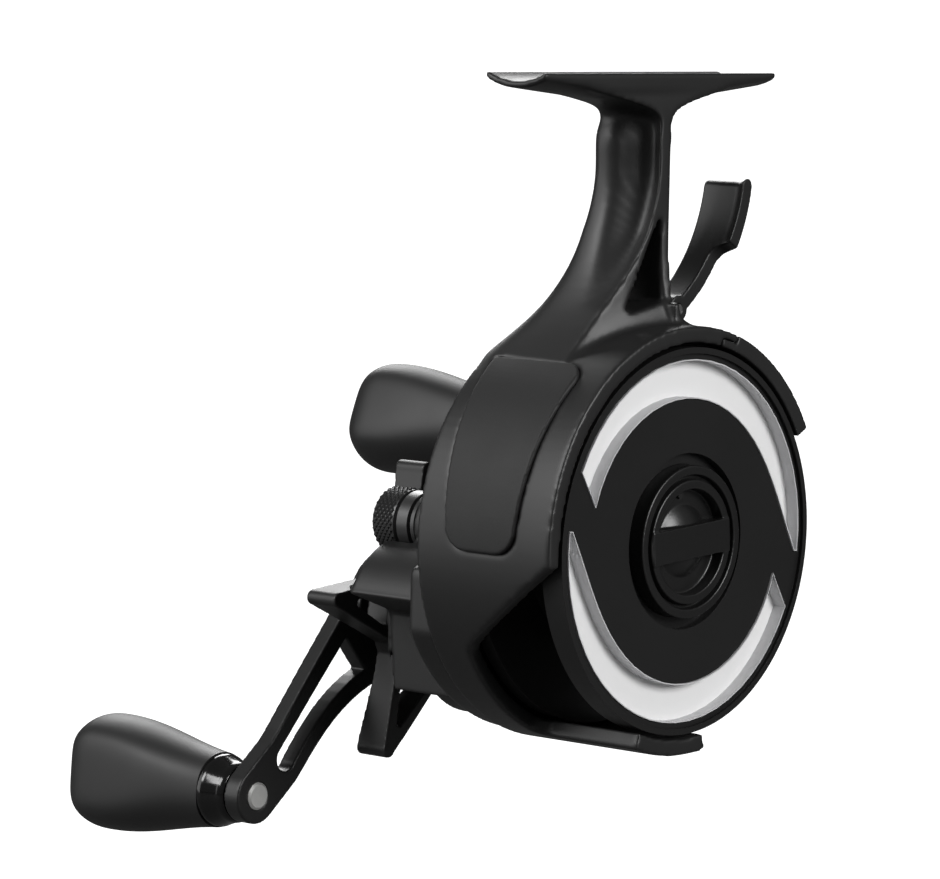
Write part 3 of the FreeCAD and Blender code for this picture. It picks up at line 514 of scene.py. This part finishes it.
def grip_form(node, piece, flat_at, flat_turn):
    """A swelling grip whose sides are pressed flat at a fixed distance from its axis."""
    low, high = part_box(node)
    axis = middle(node)
    full = (high.x - low.x) / 2.0
    neck = full * grip_neck
    rings = []
    for i in range(grip_along + 1):
        share = 1.0 - (1.0 - i / grip_along) ** 1.6
        grown = share / grip_fullest
        if grown <= 1.0:
            rise = 0.45 * math.sin(math.pi * grown / 2.0) + 0.275 * (1.0 - math.cos(math.pi * grown))
            r = neck + (full - neck) * rise
        else:
            past = (share - grip_fullest) / (1.0 - grip_fullest)
            r = full * max(0.0, 1.0 - past ** 2.6) ** 0.5
        fade = min(1.0, grown)
        fade = fade * fade * (3.0 - 2.0 * fade)
        ring = []
        for k in range(grip_around):
            a = 2.0 * math.pi * k / grip_around
            press = max(0.02, abs(math.cos(a - math.radians(flat_turn))))
            limit = (1.0 - (1.0 - flat_at) * fade) / press
            here = r * (1.0 + limit ** -14) ** (-1.0 / 14)
            ring.append((axis.x - here * math.cos(a), low.y + (high.y - low.y) * share,
                         axis.z + here * math.sin(a)))
        rings.append(ring)
    return wrapped(rings, piece, 50.0, capped=True)


for which, flat_at, flat_turn in (("1", 0.78, 4.0), ("2", 0.84, 22.0)):
    shape = grip_form("knob_" + which, "knob_grip_" + which, flat_at, flat_turn)
    dress(shape, grip, "handle_knob_" + which, "grip_soft", "knob_" + which)


# ---------------------------------------------------------------- knob collars
# A polished black collar with a waist closes each grip's end and runs on the post that
# is riveted to the crank arm.
gloss_black = skin("collar_gloss", (0.004, 0.004, 0.004), (0.006, 0.006, 0.006),
                   0.16, 0.12, 800.0, 0.0005)
for which in ("1", "2"):
    collar = eased("knob_collar_" + which, "knob_collar_turned_" + which, 0.22)
    dress(collar, gloss_black, "handle_knob_" + which, "collar_gloss", "knob_collar_" + which)


# ---------------------------------------------------------------- metal parts
# Turned steel pins and shafts, cut brass gears and bushes, a pressed fibre washer, an
# acetal plunger, and the blackened screws, nut, spacer and pin that hold the rest.
steel = skin("turned_steel", (0.50, 0.50, 0.50), (0.60, 0.60, 0.59),
             0.34, 0.26, 3000.0, 0.001, 200.0, 1.0)
rivet = skin("rivet_steel", (0.62, 0.62, 0.61), (0.72, 0.72, 0.70),
             0.60, 0.52, 3000.0, 0.004, 900.0, 0.75)
brass = skin("cut_brass", (0.48, 0.34, 0.14), (0.60, 0.44, 0.20),
             0.34, 0.26, 2000.0, 0.002, 200.0, 1.0)
fibre = skin("pressed_fibre", (0.14, 0.09, 0.06), (0.20, 0.14, 0.09),
             0.8, 0.7, 1500.0, 0.02)
acetal = skin("acetal", (0.62, 0.62, 0.60), (0.68, 0.68, 0.66),
              0.4, 0.34, 2000.0, 0.002)
blackened = skin("blackened_metal", (0.012, 0.012, 0.012), (0.018, 0.018, 0.018),
                 0.34, 0.26, 3000.0, 0.002)
for finish, parts in (
        (steel, ("spool_shaft", "crank_shaft", "trigger_pin", "front_bearing",
                 "drag_washer_steel", "brake_magnet")),
        (rivet, ("knob_post_1", "knob_post_2")),
        (brass, ("pinion", "main_gear", "crank_bush", "rear_bush")),
        (fibre, ("drag_washer_fibre",)),
        (acetal, ("brake_plunger",)),
        (blackened, ("cover_screw_1", "cover_screw_2", "cover_screw_3", "cover_screw_4",
                     "crank_spacer", "crank_nut", "cap_pin"))):
    for part in parts:
        paint(part, finish)


# ---------------------------------------------------------------- brake knob
# Turned aluminium, anodised black: a stem, a plain ring, a collar and a drum with a
# diamond knurl rolled into it.  It screws into the case beside the gears.
anodised = skin("black_anodised", (0.055, 0.055, 0.056), (0.072, 0.072, 0.072),
                0.40, 0.32, 4000.0, 0.001, 80.0, 0.5)
knob_low, knob_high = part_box("brake_knob")
knob_axis = middle("brake_knob")
knob_r = (knob_high.x - knob_low.x) / 2.0
knob_turns = 96
knurl_deep = 0.28 * MM
knurl_long = 4.6 * MM
knurl_rows = 9
knurl_around = 30
drum_r = knob_r - knurl_deep
drum_long = 5.1 * MM
drum_y = knob_high.y - drum_long

# From the stem's end to the drum's: radius, and place along the axis.
outline = [(0.0, knob_low.y), (1.8 * MM, knob_low.y), (1.8 * MM, drum_y - 4.4 * MM)]
outline += [(knob_r - inwards * MM, drum_y - before * MM) for inwards, before in (
    (1.1, 4.4), (0.6, 4.1), (0.6, 3.4), (1.2, 3.2), (1.2, 2.9),
    (0.5, 2.7), (0.35, 0.55), (0.9, 0.3), (0.9, 0.05))]
outline += [(drum_r - 0.05 * MM, drum_y + 0.2 * MM), (drum_r, drum_y + 0.35 * MM),
            (drum_r, knob_high.y - 0.45 * MM), (drum_r - 0.3 * MM, knob_high.y - 0.1 * MM),
            (drum_r - 0.9 * MM, knob_high.y), (0.0, knob_high.y)]
rings = []
for r, y in outline:
    angles = [2.0 * math.pi * k / knob_turns for k in range(knob_turns)]
    rings.append([(knob_axis.x + r * math.cos(a), y, knob_axis.z + r * math.sin(a)) for a in angles])
brake_knob = wrapped(rings, "brake_knob_turned", 35.0)


def knurl_tree():
    """Diamonds in staggered rows round a cylinder along Y, added to the turned part."""
    tree = bpy.data.node_groups.new("diamond_knurl", "GeometryNodeTree")
    socket = tree.interface.new_socket
    socket("Geometry", in_out="INPUT", socket_type="NodeSocketGeometry")
    for name, value in (("Radius", 0.005), ("Start", 0.0), ("Row pitch", 0.0005),
                        ("Depth", 0.0003), ("Centre X", 0.0), ("Centre Z", 0.0)):
        socket(name, in_out="INPUT", socket_type="NodeSocketFloat").default_value = value
    for name, value in (("Around", 30), ("Rows", 8)):
        socket(name, in_out="INPUT", socket_type="NodeSocketInt").default_value = value
    socket("Finish", in_out="INPUT", socket_type="NodeSocketMaterial")
    socket("Geometry", in_out="OUTPUT", socket_type="NodeSocketGeometry")
    made = tree.nodes
    link = tree.links.new
    given = made.new("NodeGroupInput").outputs
    leave = made.new("NodeGroupOutput")

    def reckon(kind, *values):
        """A Math node of one kind on sockets or numbers."""
        node = made.new("ShaderNodeMath")
        node.operation = kind
        for place, value in zip(node.inputs, values):
            if isinstance(value, (int, float)):
                place.default_value = value
            else:
                link(value, place)
        return node.outputs[0]

    # Each point's number gives its row and its place round the drum.
    index = made.new("GeometryNodeInputIndex").outputs[0]
    row = reckon("FLOOR", reckon("DIVIDE", index, given["Around"]))
    column = reckon("SUBTRACT", index, reckon("MULTIPLY", row, given["Around"]))
    stagger = reckon("MULTIPLY", reckon("MODULO", row, 2.0), 0.5)
    step = reckon("DIVIDE", 2.0 * math.pi, given["Around"])
    angle = reckon("MULTIPLY", reckon("ADD", column, stagger), step)
    out_x = reckon("COSINE", angle)
    out_z = reckon("SINE", angle)
    radius = given["Radius"]
    spot = made.new("ShaderNodeCombineXYZ")
    link(reckon("ADD", given["Centre X"], reckon("MULTIPLY", out_x, radius)), spot.inputs[0])
    link(reckon("ADD", given["Start"], reckon("MULTIPLY", row, given["Row pitch"])), spot.inputs[1])
    link(reckon("ADD", given["Centre Z"], reckon("MULTIPLY", out_z, radius)), spot.inputs[2])
    outward = made.new("ShaderNodeCombineXYZ")
    link(out_x, outward.inputs[0])
    link(out_z, outward.inputs[2])
    spots = made.new("GeometryNodePoints")
    link(reckon("MULTIPLY", given["Around"], given["Rows"]), spots.inputs["Count"])
    link(spot.outputs[0], spots.inputs["Position"])

    # One diamond is a four-sided cone with a small flat top, stood on the drum.
    stand = made.new("FunctionNodeAlignRotationToVector")
    stand.axis = "Z"
    link(outward.outputs[0], stand.inputs["Vector"])
    diamond = made.new("GeometryNodeMeshCone")
    diamond.inputs["Vertices"].default_value = 4
    diamond.inputs["Radius Top"].default_value = 0.28
    diamond.inputs["Radius Bottom"].default_value = 1.0
    diamond.inputs["Depth"].default_value = 1.0
    size = made.new("ShaderNodeCombineXYZ")
    link(reckon("MULTIPLY", reckon("MULTIPLY", step, radius), 0.5), size.inputs[0])
    link(given["Row pitch"], size.inputs[1])
    link(given["Depth"], size.inputs[2])
    rolled_in = made.new("GeometryNodeInstanceOnPoints")
    link(spots.outputs[0], rolled_in.inputs["Points"])
    link(diamond.outputs["Mesh"], rolled_in.inputs["Instance"])
    link(stand.outputs[0], rolled_in.inputs["Rotation"])
    link(size.outputs[0], rolled_in.inputs["Scale"])
    real = made.new("GeometryNodeRealizeInstances")
    link(rolled_in.outputs[0], real.inputs[0])
    both = made.new("GeometryNodeJoinGeometry")
    link(given["Geometry"], both.inputs[0])
    link(real.outputs[0], both.inputs[0])
    coat = made.new("GeometryNodeSetMaterial")
    link(both.outputs[0], coat.inputs["Geometry"])
    link(given["Finish"], coat.inputs["Material"])
    link(coat.outputs[0], leave.inputs[0])
    return tree


rolled = brake_knob.modifiers.new("knurl", "NODES")
rolled.node_group = knurl_tree()
row_pitch = knurl_long / (knurl_rows + 1)
knurl_sizes = {"Radius": drum_r, "Start": drum_y + (drum_long - knurl_long) / 2.0 + row_pitch,
               "Row pitch": row_pitch, "Depth": knurl_deep,
               "Centre X": knob_axis.x, "Centre Z": knob_axis.z,
               "Around": knurl_around, "Rows": knurl_rows, "Finish": anodised}
for item in rolled.node_group.interface.items_tree:
    if item.in_out == "INPUT" and item.name in knurl_sizes:
        rolled[item.identifier] = knurl_sizes[item.name]
bpy.context.view_layer.update()
depsgraph = bpy.context.evaluated_depsgraph_get()
knurled = bpy.data.meshes.new_from_object(brake_knob.evaluated_get(depsgraph))
brake_knob.modifiers.remove(rolled)
brake_knob.data = knurled
dress(brake_knob, anodised, "brake_knob", "brake_black", "brake_knob")


# ---------------------------------------------------------------- studio
# A white paper sweep under and behind the reel, and five soft boxes: two broad ones from
# the upper left and the front, and weaker ones from behind and below.  The paper looks
# white and throws little light back, so the black parts keep their depth.
low, high = cad_box
floor_z = low[2] - 0.09
sweep_near, sweep_far, sweep_half = -2.6, 1.2, 3.5
sweep_r, sweep_high = 0.6, 3.0
profile = [(sweep_near, floor_z)]
for i in range(13):
    a = math.radians(90.0 * i / 12)
    profile.append((sweep_far + sweep_r * math.sin(a), floor_z + sweep_r - sweep_r * math.cos(a)))
profile.append((sweep_far + sweep_r, floor_z + sweep_high))
sweep_turn = math.radians(48.5)
heading = Vector((math.sin(sweep_turn), math.cos(sweep_turn), 0.0))
across = Vector((heading.y, -heading.x, 0.0))
sweep = bmesh.new()
rows = []
for away, z in profile:
    rows.append([sweep.verts.new(heading * away + across * edge + Vector((0, 0, z)))
                 for edge in (-sweep_half, sweep_half)])
for lower, upper in zip(rows, rows[1:]):
    sweep.faces.new((lower[0], lower[1], upper[1], upper[0]))
sheet = bpy.data.meshes.new("studio_sweep")
sweep.to_mesh(sheet)
sweep.free()
sheet.shade_smooth()
backdrop = placed("studio_sweep", sheet)


def seen_directly(tree, brightness, otherwise):
    """A strength for what the lens sees straight on, and another for the light it gives."""
    path = tree.nodes.new("ShaderNodeLightPath")
    strength = tree.nodes.new("ShaderNodeMath")
    strength.operation = "MULTIPLY_ADD"
    strength.inputs[1].default_value = brightness - otherwise
    strength.inputs[2].default_value = otherwise
    tree.links.new(path.outputs["Is Camera Ray"], strength.inputs[0])
    return strength.outputs[0]


paper = bpy.data.materials.new("white_paper")
paper.use_nodes = True
paper_tree = paper.node_tree
paper_shader = paper_tree.nodes["Principled BSDF"]
paper_shader.inputs["Base Color"].default_value = (0.10, 0.10, 0.10, 1)
paper_shader.inputs["Roughness"].default_value = 0.9
paper_shader.inputs["Emission Color"].default_value = (1, 1, 1, 1)
paper_tree.links.new(seen_directly(paper_tree, 1.2, 0.0), paper_shader.inputs["Emission Strength"])
sheet.materials.append(paper)

world = bpy.data.worlds.new("studio")
world.use_nodes = True
sky = world.node_tree.nodes["Background"]
sky.inputs["Color"].default_value = (1, 1, 1, 1)
world.node_tree.links.new(seen_directly(world.node_tree, 1.2, 0.13), sky.inputs["Strength"])
bpy.context.scene.world = world
bpy.context.scene.view_settings.view_transform = "Standard"

centre = (Vector(low) + Vector(high)) / 2.0


def softbox(name, place, size, watts):
    """A square area light at a place from the reel's middle, turned towards it."""
    lamp = bpy.data.lights.new(name, "AREA")
    lamp.shape = "RECTANGLE"
    lamp.size = size
    lamp.size_y = size
    lamp.energy = watts
    holder = bpy.data.objects.new(name, lamp)
    holder.location = centre + Vector(place)
    holder.rotation_euler = (-Vector(place)).to_track_quat("-Z", "Y").to_euler()
    studio.objects.link(holder)


softbox("key_light", (-0.95, 0.30, 0.72), 0.5, 8.5)
softbox("fill_light", (0.10, -1.05, 0.42), 0.5, 9.5)
softbox("back_light", (-0.9, 0.8, 0.25), 0.9, 5.0)
softbox("low_light", (-0.8, 0.0, -0.40), 0.4, 2.0)
softbox("rear_light", (0.75, 0.85, 0.70), 0.6, 9.0)


# ---------------------------------------------------------------- camera
# A long lens from the spool's left, a little above its middle, so that the spool's face,
# the ring's side and the crank are all in view with next to no convergence.
yaw = math.radians(48.51)
pitch = math.radians(5.59)
roll = math.radians(1.02)
eye = (-0.5706, -0.47065, 0.01345)
ahead = Vector((math.cos(pitch) * math.sin(yaw), math.cos(pitch) * math.cos(yaw), -math.sin(pitch)))
right = Vector((math.cos(yaw), -math.sin(yaw), 0.0))
up = right.cross(ahead)
lens_right = right * math.cos(roll) + up * math.sin(roll)
lens_up = up * math.cos(roll) - right * math.sin(roll)
lens = bpy.data.cameras.new("camera")
lens.sensor_width = 36.0
lens.lens = 174.8
lens.clip_start = 0.01
lens.clip_end = 20.0
camera = bpy.data.objects.new("camera", lens)
turned = Matrix((lens_right, lens_up, -ahead)).transposed().to_4x4()
camera.matrix_world = Matrix.Translation(eye) @ turned
studio.objects.link(camera)
bpy.context.scene.camera = camera
